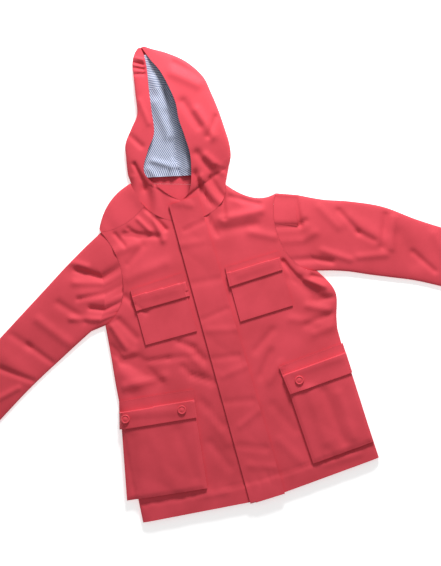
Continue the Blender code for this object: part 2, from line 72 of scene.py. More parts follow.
# centre front and pockets
PLACKET_TOP_WIDTH = 51.0
PLACKET_HEM_WIDTH = 60.0
PLACKET_LEFT = -28.0   # free edge of the placket
PLACKET_TOP = 259.0
BELLOWS = 6.2          # how far a cargo pocket stands off its panel

HEM_CENTRE = -258.0    # hem at the centre front
HOOD_FOLD_HEIGHT = 8.0 # height of the hood's folded sides

Side = namedtuple("Side", "x y centre_y")             # a point of the side seam and its centre-front level
Curve = namedtuple("Curve", "start pull_start pull_end end")
Station = namedtuple("Station", "upper_along upper_off lower_along lower_off bow height")
HoodRow = namedtuple("HoodRow", "rim_right fold_right fold_left rim_left high_right high_left")
Fold = namedtuple("Fold", "start end width height")
Patch = namedtuple("Patch", "top_inner top_outer hem_outer hem_inner")    # inner is the placket's side

# The wearer's left half is the one at +X.
SIDE_LEFT = [
    Side(200, -241, HEM_CENTRE),
    Side(197, -180, -185),
    Side(194, -105, -110),
    Side(190, -15, -20),
    Side(203, 45, 45),
    Side(183, 88, 95),
]
SIDE_RIGHT = [
    Side(-210, -242, HEM_CENTRE),
    Side(-206, -180, -185),
    Side(-200, -105, -110),
    Side(-194, -15, -20),
    Side(-188, 45, 45),
    Side(-184, 93, 95),
]
ARMHOLE_LEFT = Curve((183, 88), (130, 100), (122, 190), (150, 232))
ARMHOLE_RIGHT = Curve((-184, 93), (-128, 112), (-122, 195), (-150, 246))
NECK_LEFT = Curve((0.3, 225), (34, 222), (70, 236), (73, 268))
NECK_RIGHT = Curve((-0.3, 225), (-45, 230), (-78, 262), (-80, 312))
SHOULDER_SAG_LEFT = 15.0
SHOULDER_SAG_RIGHT = 9.0
YOKE_FOLD_RIGHT = Curve((-80, 312), (-105, 306), (-134, 290), (-151, 252))

# Sleeve stations: distances along and off the straight line from the armhole's middle to the cuff's.
SLEEVE_LINE_LEFT = ((160, 158), (501, -5))
SLEEVE_LEFT = [
    Station(-5, 66, 78, -48, 0.85, 9.2),
    Station(38, 66, 105, -45, 0.45, 9.6),
    Station(85, 71, 138, -44, 0.15, 9.2),
    Station(140, 72, 175, -42, 0.0, 9.2),
    Station(200, 61, 216, -40, 0.0, SLEEVE_HEIGHT),
    Station(258, 54, 265, -42, 0.0, SLEEVE_HEIGHT),
    Station(320, 50, 322, -45, 0.0, SLEEVE_HEIGHT),
    Station(378, 48, 378, -48, 0.0, SLEEVE_HEIGHT),
]
SLEEVE_LINE_RIGHT = ((-160, 168), (-501, -21))
SLEEVE_RIGHT = [
    Station(-12, 64, 82, -44, 0.85, 9.2),
    Station(36, 63, 112, -43, 0.45, 9.6),
    Station(92, 60, 150, -42, 0.15, 9.2),
    Station(150, 57, 188, -41, 0.0, SLEEVE_HEIGHT),
    Station(208, 54, 228, -41, 0.0, SLEEVE_HEIGHT),
    Station(266, 52, 276, -43, 0.0, SLEEVE_HEIGHT),
    Station(328, 50, 332, -46, 0.0, SLEEVE_HEIGHT),
    Station(390, 48, 390, -48, 0.0, SLEEVE_HEIGHT),
]

# Hood sections from the neck seam to the tip: the two free rims of the mouth and the two folds.
HOOD = [
    HoodRow((-8, 262), (-81, 326), (86, 296), (-4, 262), 11, 11),
    HoodRow((-30, 284), (-79, 340), (94, 312), (14, 277), 13, 16),
    HoodRow((-53, 322), (-76, 356), (97, 334), (28, 325), 14, 23),
    HoodRow((-38, 356), (-71, 378), (96, 362), (28, 362), 15, 27),
    HoodRow((-20, 382), (-53, 402), (94, 392), (26, 392), 16, 28),
    HoodRow((-14, 420), (-39, 421), (90, 422), (28, 420), 16, 27),
    HoodRow((-9, 455), (-33, 455), (84, 452), (24, 450), 15, 24),
    HoodRow((-4, 484), (-28, 485), (64, 483), (17, 479), 13, 18),
    HoodRow((-2, 506), (-24, 506), (37, 506), (7, 501), 10, 12),
    HoodRow((-3, 519), (-17, 520), (14, 520), (1, 517), 6.4, 7.2),
    HoodRow((-4.5, 527), (-9, 527.5), (2, 528), (-2.5, 527), 5.2, 5.2),
]

BODY_FOLDS = [
    Fold((-186, 52), (-150, 20), 13, -3.2),
    Fold((-150, 20), (-128, -18), 13, -3.4),
    Fold((-176, 8), (-158, -14), 12, 2.6),
    Fold((140, 88), (172, 44), 12, -3.2),
    Fold((158, 92), (190, 52), 11, 2.4),
    Fold((-112, 226), (-84, 214), 12, -2.4),
    Fold((60, 205), (100, 206), 13, 2.2),
]
SLEEVE_FOLDS = [
    Fold((-214, 196), (-146, 148), 13, -3.0),
    Fold((-206, 150), (-150, 128), 12, 2.6),
    Fold((-360, 84), (-330, 40), 15, 2.4),
    Fold((172, 220), (186, 160), 12, 2.8),
    Fold((258, 158), (300, 110), 13, 2.6),
    Fold((330, 110), (345, 60), 15, -2.6),
    Fold((440, 62), (462, 10), 14, 2.2),
    Fold((-452, 46), (-430, -8), 14, 2.2),
]

CHEST_POCKET = {
    "right": Patch((-39, 126), (-127, 126), (-127, 44), (-38, 44)),
    "left": Patch((36, 122), (127, 124), (128, 43), (36, 40)),
}
CHEST_FLAP = {
    "right": Patch((-35, 144), (-128, 139), (-127, 103), (-34, 104)),
    "left": Patch((35, 134), (128, 137), (127, 105), (34, 101)),
}
CARGO_POCKET = {
    "right": Patch((-75, -68), (-198, -56), (-226, -199), (-91, -214)),
    "left": Patch((82, -68), (191, -58), (198, -212), (91, -221)),
}
CARGO_FLAP = {
    "right": Patch((-71, -49), (-195, -35), (-207, -81), (-76, -95)),
    "left": Patch((78, -50), (192, -40), (194, -91), (84, -99)),
}
SNAPS = {"right": [(-97, -76), (-192, -66)], "left": [(105, -80)]}

FINE = [k / 36 for k in range(37)]
RING_STEPS = 64        # steps across the upper side of a sleeve ring
ROW_STEPS = 16         # rows between two stations of a side or a sleeve
HOOD_BASE_STEPS = 12   # rows from the neck seam to the first hood section
HOOD_ROW_STEPS = 14    # rows between two further hood sections
LINING_FROM = 7        # first hood row that the lining may start from
LAY_REACH = 2.0        # how far around a point the cloth below is felt
ARM_STEPS = 63         # steps of an armhole, and of the panel rows that end on it
NECK_STEPS = 28        # steps of a front's neck seam
YOKE_NECK_STEPS = 14   # further steps of the right neck seam, along the yoke
PLACKET_STEPS = 170
YOKE_ACROSS = [k / 20 for k in range(21)]
HOOD_RIM_TO_FOLD_RIGHT = [math.sin(k / 26 * math.pi / 2) for k in range(27)]
HOOD_RIM_TO_FOLD_LEFT = [math.sin(k / 32 * math.pi / 2) for k in range(33)]
HOOD_UNDER = sorted([0.02 + 0.96 * k / 60 for k in range(61)] + [HOOD_SPLIT])
CROWN_SEAM_SHARE = 0.0
ACROSS = [math.sin(k / 60 * math.pi / 2) ** 1.15 for k in range(61)]

# Creases of the laid cloth: where each starts and ends, how wide it is and how high or deep.
CREASES = [
    Fold((-186, 54), (-172, 28), 5, -4.8), Fold((-172, 28), (-148, 20), 5, -5.6),
    Fold((-148, 20), (-136, -2), 5, -5.0), Fold((-136, -2), (-118, -20), 6, -3.9),
    Fold((-140, 18), (-96, 12), 4, -2.5), Fold((-96, 12), (-50, 4), 5, -1.8),
    Fold((-180, -14), (-112, -16), 7, 3.6), Fold((-176, 34), (-150, 38), 7, 2.8),
    Fold((-72, 34), (-52, 18), 5, -3.1), Fold((-52, 18), (-40, -6), 5, -3.4),
    Fold((-78, -6), (-66, -26), 4, -2.8), Fold((-66, -26), (-36, -44), 5, -3.6),
    Fold((-60, 8), (-44, -22), 6, 2.5), Fold((-62, -72), (-40, -120), 6, -2.5),
    Fold((-66, -142), (-46, -190), 6, -2.2), Fold((-54, -96), (-38, -150), 7, 2.1),
    Fold((-100, -222), (-60, -228), 6, 1.7), Fold((-150, 206), (-98, 212), 8, 2.2),
    Fold((-120, 182), (-88, 204), 6, -1.8), Fold((-126, 160), (-60, 168), 9, 1.8),
    Fold((-112, 232), (-60, 214), 5, -3.1), Fold((-66, 262), (-44, 222), 4, -3.9),
    Fold((-58, 250), (-52, 205), 5, 3.1), Fold((-84, 250), (-70, 226), 4, 2.5),
    Fold((-104, 240), (-92, 222), 4, -2.2), Fold((-128, 236), (-118, 214), 4, -2.2),
    Fold((-138, 130), (-112, 96), 6, -2.5), Fold((-160, 96), (-140, 60), 6, -2.8),
    Fold((-174, 88), (-160, 48), 5, 3.1), Fold((42, 196), (104, 190), 8, -2.2),
    Fold((50, 214), (118, 210), 7, 2.5), Fold((30, 226), (36, 190), 4, -2.2),
    Fold((62, 246), (56, 214), 4, -3.4), Fold((76, 246), (118, 222), 5, -2.5),
    Fold((92, 180), (128, 162), 7, 1.8), Fold((132, 118), (146, 84), 4, -4.5),
    Fold((146, 84), (172, 56), 5, -5.0), Fold((158, 78), (188, 60), 5, 3.6),
    Fold((172, 82), (198, 70), 4, -3.6), Fold((166, 44), (196, 38), 5, -3.1),
    Fold((152, 36), (184, 20), 6, 2.8), Fold((142, 6), (188, 12), 6, -2.8),
    Fold((120, 22), (160, 4), 7, 2.0), Fold((150, -12), (188, -8), 6, 2.2),
    Fold((48, -14), (84, 12), 6, -2.2), Fold((44, -58), (72, -22), 5, -2.7),
    Fold((56, -70), (82, -44), 5, 2.2), Fold((52, -110), (76, -160), 7, -1.7),
    Fold((46, -168), (72, -214), 7, 1.7), Fold((110, -228), (170, -226), 6, 1.4),
]
SLEEVE_CREASES = [
    Fold((-216, 214), (-188, 196), 5, 3.4), Fold((-206, 196), (-150, 160), 5, -5.0),
    Fold((-214, 176), (-146, 156), 6, 3.1), Fold((-216, 148), (-140, 142), 4, -3.6),
    Fold((-200, 128), (-160, 112), 4, -4.8), Fold((-236, 120), (-186, 104), 5, 3.6),
    Fold((-250, 150), (-214, 110), 6, -2.5), Fold((-290, 132), (-250, 80), 8, 2.5),
    Fold((-318, 96), (-286, 56), 5, -2.5), Fold((-372, 70), (-326, 36), 5, -3.4),
    Fold((-398, 20), (-352, 30), 5, 2.8), Fold((-430, 44), (-402, -10), 8, 2.2),
    Fold((-470, 22), (-446, -36), 7, -2.2), Fold((-340, 120), (-316, 92), 6, -2.0),
    Fold((166, 222), (168, 176), 4, 3.9), Fold((180, 214), (176, 170), 4, -3.6),
    Fold((148, 160), (186, 174), 4, -3.4), Fold((156, 140), (196, 150), 6, 2.1),
    Fold((178, 110), (210, 96), 5, -3.4), Fold((200, 118), (240, 92), 6, 2.2),
    Fold((214, 190), (236, 150), 7, 1.8), Fold((244, 176), (266, 132), 5, -2.8),
    Fold((266, 132), (288, 112), 5, -2.2), Fold((256, 92), (300, 84), 6, 2.0),
    Fold((318, 148), (298, 98), 5, -2.8), Fold((330, 140), (312, 92), 6, 2.5),
    Fold((346, 76), (372, 36), 5, -2.5), Fold((388, 96), (400, 40), 8, 2.1),
    Fold((430, 72), (426, 12), 6, -2.1), Fold((468, 48), (466, -8), 7, 2.0),
]
HOOD_CREASES = [
    Fold((-26, 508), (-8, 498), 2.5, -4.2), Fold((-26, 498), (-9, 490), 2.5, -3.9),
    Fold((-27, 486), (-10, 482), 2.6, -3.1), Fold((-20, 514), (-6, 506), 2.6, 2.8),
    Fold((36, 470), (72, 440), 9, 3.4), Fold((44, 486), (80, 452), 6, -2.5),
    Fold((40, 418), (56, 372), 7, -3.1), Fold((58, 398), (74, 350), 8, 3.4),
    Fold((66, 352), (86, 380), 5, -3.6), Fold((40, 330), (60, 290), 6, -3.9),
    Fold((52, 322), (74, 290), 6, 3.6), Fold((28, 300), (34, 252), 4, -5.0),
    Fold((36, 290), (46, 248), 5, 3.9), Fold((52, 286), (56, 252), 4, -4.2),
    Fold((64, 300), (84, 286), 4, -3.4), Fold((-66, 340), (-58, 300), 4, -4.2),
    Fold((-58, 300), (-42, 262), 4, -5.0), Fold((-74, 320), (-66, 282), 5, 3.4),
    Fold((-46, 296), (-34, 252), 4, 3.6), Fold((-30, 440), (-24, 400), 5, 1.7),
    Fold((-60, 388), (-46, 366), 5, -2.5), Fold((-20, 264), (6, 252), 4, 1.7),
]
LINING_CREASES = [
    Fold((2, 470), (10, 420), 8, 3.5), Fold((-4, 430), (4, 372), 9, 5.0),
    Fold((18, 448), (14, 392), 5, -3.0), Fold((14, 392), (2, 330), 5, -3.6),
    Fold((24, 372), (22, 312), 8, 4.4), Fold((-34, 338), (-8, 322), 5, 3.0),
    Fold((-24, 304), (-2, 330), 4, 2.6), Fold((-14, 284), (-6, 318), 4, 3.4),
    Fold((4, 282), (2, 312), 3.5, -2.6), Fold((-44, 326), (-30, 300), 5, 2.4),
    Fold((12, 296), (20, 330), 5, 2.2),
]
RELIEF_CREASES = [
    Fold((-14, 212), (22, 218), 4, -1.4), Fold((-26, 190), (10, 186), 6, 1.0),
    Fold((-22, 122), (26, 118), 6, -0.9), Fold((-24, 60), (20, 66), 5, -1.0),
    Fold((-20, 40), (24, 30), 6, 1.1), Fold((-24, -8), (18, -14), 5, -1.2),
    Fold((-16, -40), (26, -34), 6, 1.1), Fold((-22, -84), (20, -92), 6, -1.2),
    Fold((-10, -128), (26, -112), 6, 1.2), Fold((-20, -160), (20, -176), 6, -1.3),
    Fold((-12, -196), (26, -210), 7, 1.3), Fold((116, -104), (122, -190), 10, 1.8),
    Fold((140, -110), (150, -200), 8, -2.2), Fold((162, -120), (168, -196), 8, 1.8),
    Fold((-190, -100), (-206, -184), 8, -1.2), Fold((-160, -110), (-140, -198), 12, 1.2),
    Fold((-112, -110), (-104, -190), 9, -1.2), Fold((-180, -60), (-110, -74), 8, 0.8),
    Fold((100, -64), (180, -60), 8, 0.8), Fold((-110, 124), (-56, 122), 8, 0.6),
    Fold((56, 118), (110, 122), 8, 0.6),
]


# ---------------------------------------------------------------- materials

def srgb(code):
    """A hex colour as linear red, green, blue and alpha."""
    parts = [int(code[i:i + 2], 16) / 255 for i in (0, 2, 4)]
    return (*[c / 12.92 if c <= 0.04045 else ((c + 0.055) / 1.055) ** 2.4 for c in parts], 1.0)


def add_node(tree, kind, **values):
    """A node of a kind with its inputs set by name, and its own settings by attribute."""
    node = tree.nodes.new(kind)
    for name, value in values.items():
        if name in node.inputs:
            node.inputs[name].default_value = value
        else:
            setattr(node, name, value)
    return node


def fabric(name, dark, light, weave_mm, roughness):
    """Matte woven cloth: a slow mottle between two tones, and a fine weave as bump."""
    material = bpy.data.materials.new(name)
    material.use_nodes = True
    tree = material.node_tree
    shader = tree.nodes["Principled BSDF"]
    shader.inputs["Roughness"].default_value = roughness
    shader.inputs["Sheen Weight"].default_value = 0.06
    shader.inputs["Specular IOR Level"].default_value = 0.3
    place = add_node(tree, "ShaderNodeTexCoord")
    mottle = add_node(tree, "ShaderNodeTexNoise", Scale=14.0, Detail=4.0)
    ramp = add_node(tree, "ShaderNodeValToRGB")
    ramp.color_ramp.elements[0].position = 0.3
    ramp.color_ramp.elements[1].position = 0.7
    ramp.color_ramp.elements[0].color = srgb(dark)
    ramp.color_ramp.elements[1].color = srgb(light)
    weave = add_node(tree, "ShaderNodeTexNoise", Scale=1000.0 / weave_mm, Detail=2.0)
    bump = add_node(tree, "ShaderNodeBump", Strength=0.25, Distance=0.0006)
    tree.links.new(place.outputs["Object"], mottle.inputs["Vector"])
    tree.links.new(place.outputs["Object"], weave.inputs["Vector"])
    tree.links.new(mottle.outputs["Fac"], ramp.inputs["Fac"])
    tree.links.new(ramp.outputs["Color"], shader.inputs["Base Color"])
    tree.links.new(weave.outputs["Fac"], bump.inputs["Height"])
    tree.links.new(bump.outputs["Normal"], shader.inputs["Normal"])
    return material


def striped_cloth(name):
    """Fine blue and white stripes; their direction and count come from the mesh's own UV map, in stripes."""
    material = bpy.data.materials.new(name)
    material.use_nodes = True
    tree = material.node_tree
    shader = tree.nodes["Principled BSDF"]
    shader.inputs["Roughness"].default_value = 0.85
    shader.inputs["Sheen Weight"].default_value = 0.1
    uv = add_node(tree, "ShaderNodeUVMap", uv_map="stripes")
    split = add_node(tree, "ShaderNodeSeparateXYZ")
    part = add_node(tree, "ShaderNodeMath", operation="FRACT")
    ramp = add_node(tree, "ShaderNodeValToRGB")
    low, high = ramp.color_ramp.elements
    low.position, high.position = 0.40, 0.60
    low.color, high.color = srgb("5A6688"), srgb("C6CBDB")
    tree.links.new(uv.outputs["UV"], split.inputs["Vector"])
    tree.links.new(split.outputs["X"], part.inputs[0])
    tree.links.new(part.outputs["Value"], ramp.inputs["Fac"])
    tree.links.new(ramp.outputs["Color"], shader.inputs["Base Color"])
    return material


def cloth_wall(name, outer, inner, material, around=False):
    """A closed wall between two equal grids of points, as one mesh; around joins each row's ends."""
    grid = np.array([outer, inner], dtype=np.float32) * MM
    _, rows, columns, _ = grid.shape
    index = np.arange(grid.size // 3).reshape(2, rows, columns)
    if around:
        index = np.concatenate([index, index[:, :, :1]], axis=2)
    top, low = index

    def quads(a, b, c, d):
        return np.stack([a, b, c, d], axis=-1).reshape(-1, 4)

    faces = [quads(top[:-1, :-1], top[:-1, 1:], top[1:, 1:], top[1:, :-1]),
             quads(low[:-1, :-1], low[1:, :-1], low[1:, 1:], low[:-1, 1:]),
             quads(top[0, 1:], top[0, :-1], low[0, :-1], low[0, 1:]),
             quads(top[-1, :-1], top[-1, 1:], low[-1, 1:], low[-1, :-1])]
    if not around:
        faces += [quads(top[:-1, 0], top[1:, 0], low[1:, 0], low[:-1, 0]),
                  quads(top[1:, -1], top[:-1, -1], low[:-1, -1], low[1:, -1])]
    mesh = bpy.data.meshes.new(name)
    mesh.from_pydata(grid.reshape(-1, 3).tolist(), [], np.concatenate(faces).tolist())
    mesh.materials.append(material)
    mesh.shade_smooth()
    mesh.set_sharp_from_angle(angle=math.radians(55))
    thing = bpy.data.objects.new("look_" + name, mesh)
    bpy.context.scene.collection.objects.link(thing)
    thing["stands_for"] = name
    return thing


def declare(piece):
    """The piece takes its solid's place; its area is that of its own mesh, and a flat width and length to
    match it are worked out but go no further.
    """
    node = piece["stands_for"]
    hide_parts(node)
    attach(piece, "root")
    low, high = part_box(node)
    width, length = high[0] - low[0], high[1] - low[1]
    area = sum(p.area for p in piece.data.polygons) / 2
    width, length = CUTS.get(node, (width, length))
    scale = max(math.sqrt(area / (width * length)), 1.0) * 1.001
    width, length = width * scale, length * scale


# Assumed flat rectangles, in metres, of the pieces that are not laid out flat: tubes all round and the hood.
CUTS = {"sleeve_right": (0.24, 0.40), "sleeve_left": (0.24, 0.40), "hood_right": (0.14, 0.30),
        "hood_left": (0.19, 0.30), "hood_lining": (0.30, 0.24)}


# What each piece lies on.
RESTS_ON = {"sleeve_right": ["pale_floor"], "sleeve_left": ["pale_floor"], "hood_right": ["pale_floor"],
            "hood_left": ["pale_floor"], "hood_lining": ["hood_right", "hood_left"],
            "yoke_right": ["back_panel"],
            "front_right_panel": ["back_panel"], "front_left_panel": ["back_panel"],
            "placket": ["front_right_panel", "front_left_panel"]}
for half in ("right", "left"):
    RESTS_ON[f"chest_pocket_{half}"] = RESTS_ON[f"cargo_pocket_{half}"] = [f"front_{half}_panel"]
    RESTS_ON[f"chest_flap_{half}"] = [f"chest_pocket_{half}", f"front_{half}_panel"]
    RESTS_ON[f"cargo_flap_{half}"] = [f"cargo_pocket_{half}", f"front_{half}_panel"]


def stitches(name, runs, ground, thread, step=3.4):
    """Rows of short raised threads along runs of points, as one joined mesh, felt onto the cloth below."""
    points, faces = [], []
    for run in runs:
        for a, b in zip(run, run[1:]):
            length = math.dist(a, b)
            dx, dy = (b[0] - a[0]) / length, (b[1] - a[1]) / length
            for k in range(int(length / step)):
                x, y = a[0] + dx * (k + 0.5) * step, a[1] + dy * (k + 0.5) * step
                z = ground.at(x, y)
                if z < 2.0:
                    continue
                base = len(points)
                for along_share, side in ((-1.2, 0.0), (0.0, 0.28), (1.2, 0.0), (0.0, -0.28)):
                    points.append((x + dx * along_share - dy * side,
                                   y + dy * along_share + dx * side, z - 0.05))
                points.append((x, y, z + 0.4))
                faces += [(base + i, base + (i + 1) % 4, base + 4) for i in range(4)]
    mesh = bpy.data.meshes.new(name)
    mesh.from_pydata((np.array(points) * MM).tolist(), [], faces)
    mesh.materials.append(thread)
    thing = bpy.data.objects.new(name, mesh)
    bpy.context.scene.collection.objects.link(thing)
    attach(thing, "root")
    return thing


def mix(a, b, t):
    return tuple(p + (q - p) * t for p, q in zip(a, b))


def curve_points(curve, steps):
    """Points of a cubic curve between two ends, each pulled towards its own handle."""
    points = []
    for k in range(steps + 1):
        t = k / steps
        weights = ((1 - t) ** 3, 3 * t * (1 - t) ** 2, 3 * t * t * (1 - t), t ** 3)
        points.append(tuple(sum(w * p[axis] for w, p in zip(weights, curve)) for axis in (0, 1)))
    return points


def along(points, t):
    """The point at the fraction t of a seam's straight steps."""
    place = min(max(t, 0.0), 1.0) * (len(points) - 1)
    k = min(int(place), len(points) - 2)
    return mix(points[k], points[k + 1], place - k)


def moved_off(points, distance):
    """A seam's points moved sideways, to the left of its direction."""
    moved = []
    for k, point in enumerate(points):
        before, after = points[max(k - 1, 0)], points[min(k + 1, len(points) - 1)]
        dx, dy = after[0] - before[0], after[1] - before[1]
        length = math.hypot(dx, dy)
        moved.append((point[0] - dy / length * distance, point[1] + dx / length * distance))
    return moved


def smooth_rows(rows, steps):
    """Rows of numbers filled in by a smooth curve through each column, steps between each two."""
    filled = []
    for k in range(len(rows) - 1):
        before, here = rows[max(k - 1, 0)], rows[k]
        there, after = rows[k + 1], rows[min(k + 2, len(rows) - 1)]
        for step in range(steps):
            t = step / steps
            filled.append(tuple(
                b + 0.5 * t * (c - a + t * (2 * a - 5 * b + 4 * c - d + t * (3 * (b - c) + d - a)))
                for a, b, c, d in zip(before, here, there, after)))
    filled.append(tuple(rows[-1]))
    return filled


def distance_to_run(x, y, run):
    """Shortest distance from a point to a run of straight steps."""
    best = math.inf
    for (ax, ay), (bx, by) in zip(run, run[1:]):
        dx, dy = bx - ax, by - ay
        t = min(max(((x - ax) * dx + (y - ay) * dy) / (dx * dx + dy * dy), 0.0), 1.0)
        best = min(best, math.hypot(x - ax - t * dx, y - ay - t * dy))
    return best


def fold_height(x, y, folds):
    """Sum of the soft ridges and troughs at a point."""
    total = 0.0
    for fold in folds:
        (ax, ay), (bx, by) = fold.start, fold.end
        room = 3 * fold.width
        if not (min(ax, bx) - room < x < max(ax, bx) + room and min(ay, by) - room < y < max(ay, by) + room):
            continue
        reach = distance_to_run(x, y, (fold.start, fold.end)) / fold.width
        total += fold.height * math.exp(-reach * reach)
    return total


def body_height(x, y, folded_edges):
    """Top of a front panel: level, with soft folds, rounding down to the back panel at a folded edge."""
    reach = min(min(distance_to_run(x, y, edge) for edge in folded_edges) / SIDE_ROUND, 1.0)
    rounded = math.sqrt(1 - (1 - reach) ** 2)
    top = PLATEAU - FLOOR_LAYER + fold_height(x, y, BODY_FOLDS) + fold_height(x, y, CREASES)
    top = top + hem_relief(x, y)
    return FLOOR_LAYER + max(top * rounded, 0.0)


def hem_relief(x, y):
    """The turned hem: a stitched groove with small uneven puckers, and a fuller edge below it."""
    level = -228.0 + abs(x) * 0.075
    groove = -1.3 * math.exp(-((y - level) / 2.2) ** 2)
    fullness = 1.5 / (1 + math.exp((y - level) / 2.0))
    puckers = 0.55 * math.sin(x / 3.7 + 2.1 * math.sin(x / 17.0)) * math.exp(-((y - level) / 8.0) ** 2)
    gathers = 1.0 * math.sin((x * 0.8 + y * 0.25) / 4.6 + 1.7 * math.sin(x / 19.0 + y / 31.0))
    neck_reach = (abs(x) - 75.0) / 62.0, (y - 262.0) / 30.0
    gathers *= math.exp(-neck_reach[0] ** 2 - neck_reach[1] ** 2)
    slack = 0.45 * math.sin(x / 13.0 + 2.2 * math.sin(y / 29.0))
    slack *= math.sin(y / 17.0 + 1.8 * math.sin(x / 23.0))
    return groove + fullness + puckers + gathers + slack


class Ground:
    """Height of the cloth below a point, felt on the pieces that are already laid."""

    def __init__(self, pieces):
        points, faces = [], []
        for piece in pieces:
            base = len(points)
            points += [v.co / MM for v in piece.data.vertices]
            faces += [[base + i for i in p.vertices] for p in piece.data.polygons]
        self.tree = BVHTree.FromPolygons(points, faces)

    def at(self, x, y, reach=0.0, bare=0.0):
        """The highest cloth within reach of a point, or the bare height where there is none."""
        shifts = (-reach, -reach / 2, 0.0, reach / 2, reach) if reach else (0.0,)
        top = bare
        for dx in shifts:
            for dy in shifts:
                hit = self.tree.ray_cast(Vector((x + dx, y + dy, 200)), Vector((0, 0, -1)))[0]
                if hit is not None:
                    top = max(top, hit.z)
        return top


# ---------------------------------------------------------------- body

def side_rows(side):
    return smooth_rows([tuple(row) for row in side], ROW_STEPS)


def front_plan(side, armhole, neck, sag, sign):
    """Plan rows of a front panel, each from the centre front or the neck seam out to the side.

    The upper rows take the armhole's own points, and the last of them the neck seam's.
    """
    rows = []
    for x, y, centre_y in side_rows(side)[:-1]:
        rows.append([mix((sign * SEAM / 2, centre_y), (x, y), u) for u in ACROSS])
    centre_rows = len(armhole) - len(neck)
    side_top = side[-1].centre_y
    inner = [(0.0, side_top + (neck[0][1] - side_top) * k / centre_rows) for k in range(centre_rows)]
    inner += neck
    for k, (start, end) in enumerate(zip(inner, armhole)):
        start = (sign * max(abs(start[0]), SEAM / 2), start[1])
        droop = sag * max((k - centre_rows) / (len(neck) - 1), 0.0) ** 2
        line = [mix(start, end, u) for u in ACROSS]
        rows.append([(x, y - droop * 4 * u * (1 - u)) for (x, y), u in zip(line, ACROSS)])
    return rows


def raise_plan(plan, folded_edges):
    outer = [[(x, y, body_height(x, y, folded_edges)) for x, y in row] for row in plan]
    inner = [[(x, y, z - CLOTH) for x, y, z in row] for row in outer]
    return outer, inner


def facing_up(rows, sign):
    """Grids of the right half run the other way, so that every wall's outer side faces up."""
    return rows if sign > 0 else [list(reversed(row)) for row in rows]


def make_front(name, plan, folded_edges, sign, material):
    outer, inner = raise_plan(plan, folded_edges)
    return cloth_wall(name, facing_up(outer, sign), facing_up(inner, sign), material)


def make_yoke(plan_right, neck, yoke_fold, folded_edges, material):
    """The back yoke where it turns forward over the right shoulder, from its seam to its folded edge."""
    seam = moved_off(plan_right[-1], -SEAM)
    neck_edge = neck[-YOKE_NECK_STEPS - 1:]
    plan = []
    for k, start in enumerate(seam):
        end = along(yoke_fold, k / (len(seam) - 1))
        plan.append([mix(start, end, t) for t in YOKE_ACROSS])
    plan[0] = [along(neck_edge, t) for t in YOKE_ACROSS]
    plan[0][0] = seam[0]
    outer, inner = raise_plan(plan, folded_edges)
    return cloth_wall("yoke_right", outer, inner, material)


# ---------------------------------------------------------------- sleeves

def make_sleeve(name, armhole, line, stations, sign, material):
    """A laid tube: its first ring follows the armhole, its flat underside lies on the ground."""
    start, end = Vector(line[0]), Vector(line[1])
    axis = (end - start).normalized()
    off = Vector((-axis.y, axis.x)) * (1 if axis.x > 0 else -1)
    # seams run from the underarm up, tubes from the upper fold down
    seam = list(reversed(moved_off(armhole, -SEAM * sign)))
    chord = [mix(seam[0], seam[-1], k / (len(seam) - 1)) for k in range(len(seam))]
    bow = [(a[0] - b[0], a[1] - b[1]) for a, b in zip(seam, chord)]
    filled = smooth_rows([tuple(s) for s in stations], ROW_STEPS)
    rings = [(seam[0], seam[-1], 1.0, PLATEAU)]
    for row in filled:
        s = Station(*row)
        upper = start + axis * s.upper_along + off * s.upper_off
        lower = start + axis * s.lower_along + off * s.lower_off
        rings.append((tuple(upper), tuple(lower), max(s.bow, 0.0), s.height))
    shares = [0.5 - 0.5 * math.cos(math.pi * k / RING_STEPS) for k in range(RING_STEPS + 1)]
    outer, inner = [], []
    for upper, lower, bow_share, height in rings:
        width = math.dist(upper, lower)
        inset = CLOTH / width

        def plan(share):
            x, y = mix(upper, lower, share)
            bx, by = along(bow, share)
            return x + bx * bow_share, y + by * bow_share

        def top(share):
            x, y = plan(share)
            swell = (1 - abs(2 * share - 1) ** 3) ** (1 / 3)
            crown = height + fold_height(x, y, SLEEVE_FOLDS) + fold_height(x, y, SLEEVE_CREASES)
            return EDGE_HEIGHT + (crown - EDGE_HEIGHT) * swell

        out_ring = [(*plan(s), top(s)) for s in shares]
        out_ring += [(*plan(s), 0.0) for s in reversed(shares[1:-1])]
        pinched = [inset + s * (1 - 2 * inset) for s in shares]
        in_ring = [(*plan(p), max(top(s) - CLOTH, CLOTH + 0.4)) for s, p in zip(shares, pinched)]
        in_ring[0] = (*plan(pinched[0]), EDGE_HEIGHT)
        in_ring[-1] = (*plan(pinched[-1]), EDGE_HEIGHT)
        in_ring += [(*plan(p), CLOTH) for p in reversed(pinched[1:-1])]
        outer.append(out_ring if sign > 0 else list(reversed(out_ring)))
        inner.append(in_ring if sign > 0 else list(reversed(in_ring)))
    return cloth_wall(name, outer, inner, material, around=True)


# ---------------------------------------------------------------- hood

def hood_rows(neck_right, neck_left):
    """Hood sections as plain rows of numbers: the first one follows the neck seams."""
    table = [(*row.rim_right, *row.fold_right, *row.fold_left, *row.rim_left,
              row.high_right, row.high_left) for row in HOOD]
    base = (*neck_right[0], *neck_right[-1], *neck_left[-1], *neck_left[0], PLATEAU, PLATEAU)
    return smooth_rows([base] + table[:1], HOOD_BASE_STEPS)[:-1] + smooth_rows(table, HOOD_ROW_STEPS)


def bow_of(seam):
    """How far each point of a seam lies off the straight line between its ends."""
    chord = [mix(seam[0], seam[-1], k / (len(seam) - 1)) for k in range(len(seam))]
    return [(a[0] - b[0], a[1] - b[1]) for a, b in zip(seam, chord)]


